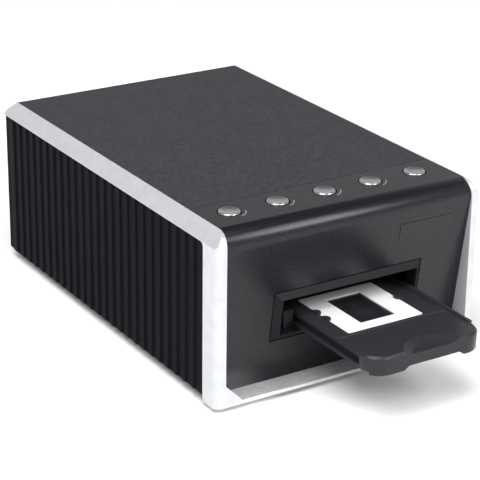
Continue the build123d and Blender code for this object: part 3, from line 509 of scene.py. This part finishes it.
def slab(bm, low, high):
    """A rectangular bar between two corners, added to a bmesh."""
    made = bmesh.ops.create_cube(bm, size=1.0)["verts"]
    size = high - low
    bmesh.ops.scale(bm, vec=size, verts=made)
    bmesh.ops.translate(bm, vec=(low + high) / 2, verts=made)


def finish_piece(name, bm, material, body, smooth_deg=35.0):
    """A bmesh as a piece that is dressed, smoothed by angle and riding on a body."""
    bmesh.ops.recalc_face_normals(bm, faces=bm.faces)
    piece = mesh_object(name, bm)
    piece.data.shade_smooth()
    piece.data.set_sharp_from_angle(angle=math.radians(smooth_deg))
    dress(piece, material)
    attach(piece, body)
    return piece


# %% Buttons
BUTTON_R = 6.2 * MM
FLANGE_TOP_DROP = 3.3 * MM
FLANGE_THICK = 1.2 * MM
HALF_STEM = 2.0 * MM
CAP_PROFILE = (
    # radius and depth below the top, in mm, from the middle of the dish outwards
    (0.0, 0.62), (1.6, 0.59), (3.0, 0.50), (4.2, 0.34), (4.9, 0.18), (5.15, 0.06),
    (5.4, 0.0), (5.75, 0.06), (6.0, 0.24), (6.15, 0.5), (6.2, 0.8),
)


def button_piece(n):
    """Dished cap, flange and stem in the place of one button."""
    low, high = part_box(f"scan_button_{n}")
    centre = (low + high) / 2
    flange_top = high.z - FLANGE_TOP_DROP
    flange_low = flange_top - FLANGE_THICK
    bm = bmesh.new()
    profile = [(r * MM, high.z - depth * MM) for r, depth in CAP_PROFILE]
    turned(bm, profile + [(BUTTON_R, flange_low), (0.0, flange_low)], centre)
    reach, stem = Vector(((high.x - low.x) / 2, HALF_STEM, 0)), Vector((HALF_STEM, HALF_STEM, 0))
    middle = Vector((centre.x, centre.y, 0))
    slab(bm, middle - reach + Vector((0, 0, flange_low)), middle + reach + Vector((0, 0, flange_top)))
    slab(bm, middle - stem + Vector((0, 0, low.z)), middle + stem + Vector((0, 0, flange_low)))
    piece = finish_piece(f"button_cap_{n}", bm, BUTTON_METAL, f"button_{n}")
    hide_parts(f"scan_button_{n}")
    return piece


buttons = [button_piece(n) for n in range(1, 6)]
print("turned", len(buttons), "buttons")

# %% [markdown]
# ## The marks beside the buttons
#
# A short grey arc is printed at the lower right of four of the buttons. Print has hardly any
# thickness, but a face of its own, a few hundredths of a millimetre up, is cleaner than a pattern in
# the plastic's material and stays sharp from near by.

# %% Printed arcs
ARC_RADIUS = 9.0 * MM
ARC_WIDTH = 0.9 * MM
ARC_FROM, ARC_TO = math.radians(-72), math.radians(-18)
ARC_STEPS = 18
INK = 0.04 * MM


def printed_arc(n):
    """A thin raised band that follows part of a circle round a button."""
    low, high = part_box(f"scan_button_{n}")
    centre = (low + high) / 2
    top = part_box("front_cover")[1].z
    bm = bmesh.new()
    sections = []
    for k in range(ARC_STEPS + 1):
        angle = ARC_FROM + (ARC_TO - ARC_FROM) * k / ARC_STEPS
        ends = []
        for radius, z in ((-1, 0), (1, 0), (1, INK), (-1, INK)):
            r = ARC_RADIUS + radius * ARC_WIDTH / 2
            spot = (centre.x + r * math.cos(angle), centre.y + r * math.sin(angle), top + z)
            ends.append(bm.verts.new(spot))
        sections.append(ends)
    for a, b in zip(sections, sections[1:]):
        for i in range(4):
            bm.faces.new((a[i], a[(i + 1) % 4], b[(i + 1) % 4], b[i]))
    bm.faces.new(sections[0])
    bm.faces.new(sections[-1])
    return finish_piece(f"button_mark_{n}", bm, finish["ink_grey"], "case")


marks = [printed_arc(n) for n in range(1, 5)]
print("printed", len(marks), "marks")

# %% [markdown]
# ## Screws
#
# The base and the back are held by small cross-head screws. They are the sort of detail that the
# solids leave out, and a part looks finished from behind only with them. A head is a low dome with
# a cross cut into it: the dome is turned, and the cross is a slot with real walls.

# %% Screw heads
SCREW_R = 2.6 * MM
SCREW_SIDES = 32
SCREW_SMOOTH_DEG = 30.0
# shares of the head's radius and rise, from its underside to its top
SCREW_RINGS = ((1.0, 0.0), (1.0, 0.45), (0.93, 0.78), (0.8, 1.0))
# the cross: half width and reach as shares of the radius, depth as a share of the rise
CROSS_HALF = 0.17
CROSS_REACH = 0.6
CROSS_DEPTH = 0.7


def cross_outline():
    """Twelve corners of a cross, as shares of the head's radius, going round once."""
    corners = []
    for k in range(4):
        c, s = math.cos(k * math.pi / 2), math.sin(k * math.pi / 2)
        for x, y in ((CROSS_HALF, CROSS_HALF), (CROSS_REACH, CROSS_HALF), (CROSS_REACH, -CROSS_HALF)):
            corners.append((x * c + y * s, -x * s + y * c))
    return corners


def ring_faces(bm, low, high):
    """The wall between two rings of as many points."""
    for k in range(len(low)):
        bm.faces.new((low[k - 1], low[k], high[k], high[k - 1]))


def screw_head(name, place, outward, rise):
    """A cross-head screw whose underside lies on a face that looks outward."""
    bm = bmesh.new()
    rings = []
    for share, height in SCREW_RINGS:
        ring = []
        radius = share * SCREW_R
        for k in range(SCREW_SIDES):
            angle = 2 * math.pi * k / SCREW_SIDES
            spot = (radius * math.cos(angle), radius * math.sin(angle), height * rise)
            ring.append(bm.verts.new(spot))
        rings.append(ring)
    for low, high in zip(rings, rings[1:]):
        ring_faces(bm, low, high)
    bm.faces.new(rings[0])
    top, floor = (
        [bm.verts.new((x * SCREW_R, y * SCREW_R, z)) for x, y in cross_outline()]
        for z in (rise, rise * (1 - CROSS_DEPTH))
    )
    ring_faces(bm, floor, top)
    bm.faces.new(floor)
    rim = [bm.edges.get((ring[k - 1], ring[k])) for ring in (rings[-1], top) for k in range(len(ring))]
    bmesh.ops.triangle_fill(bm, use_beauty=True, edges=rim)
    turn = Vector(outward).to_track_quat("Z", "Y").to_matrix().to_4x4()
    bm.transform(Matrix.Translation(place) @ turn)
    return finish_piece(name, bm, STEEL, "case", SCREW_SMOOTH_DEG)


# %% Place the screws
BASE_RISE = 1.1 * MM
BACK_RISE = 0.2 * MM
BASE_SCREW_X = 52 * MM
BASE_SCREW_Y = 96 * MM
CASE_MIDDLE_Y = 30.25 * MM
BACK_SCREW_X = 72 * MM
BACK_SCREW_HEIGHTS = (9.5 * MM, 90 * MM)
base_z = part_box("base_pan")[0].z
back_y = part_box("rear_panel")[1].y
screws = []
for x in (-1, 1):
    for y in (-1, 1):
        spot = Vector((x * BASE_SCREW_X, CASE_MIDDLE_Y + y * BASE_SCREW_Y, base_z))
        screws.append(screw_head(f"base_screw_{len(screws) + 1}", spot, (0, 0, -1), BASE_RISE))
for z in BACK_SCREW_HEIGHTS:
    for x in (-BACK_SCREW_X, 0, BACK_SCREW_X):
        spot = Vector((x, back_y, z))
        screws.append(screw_head(f"back_screw_{len(screws) - 3}", spot, (0, 1, 0), BACK_RISE))
print("placed", len(screws), "screws")
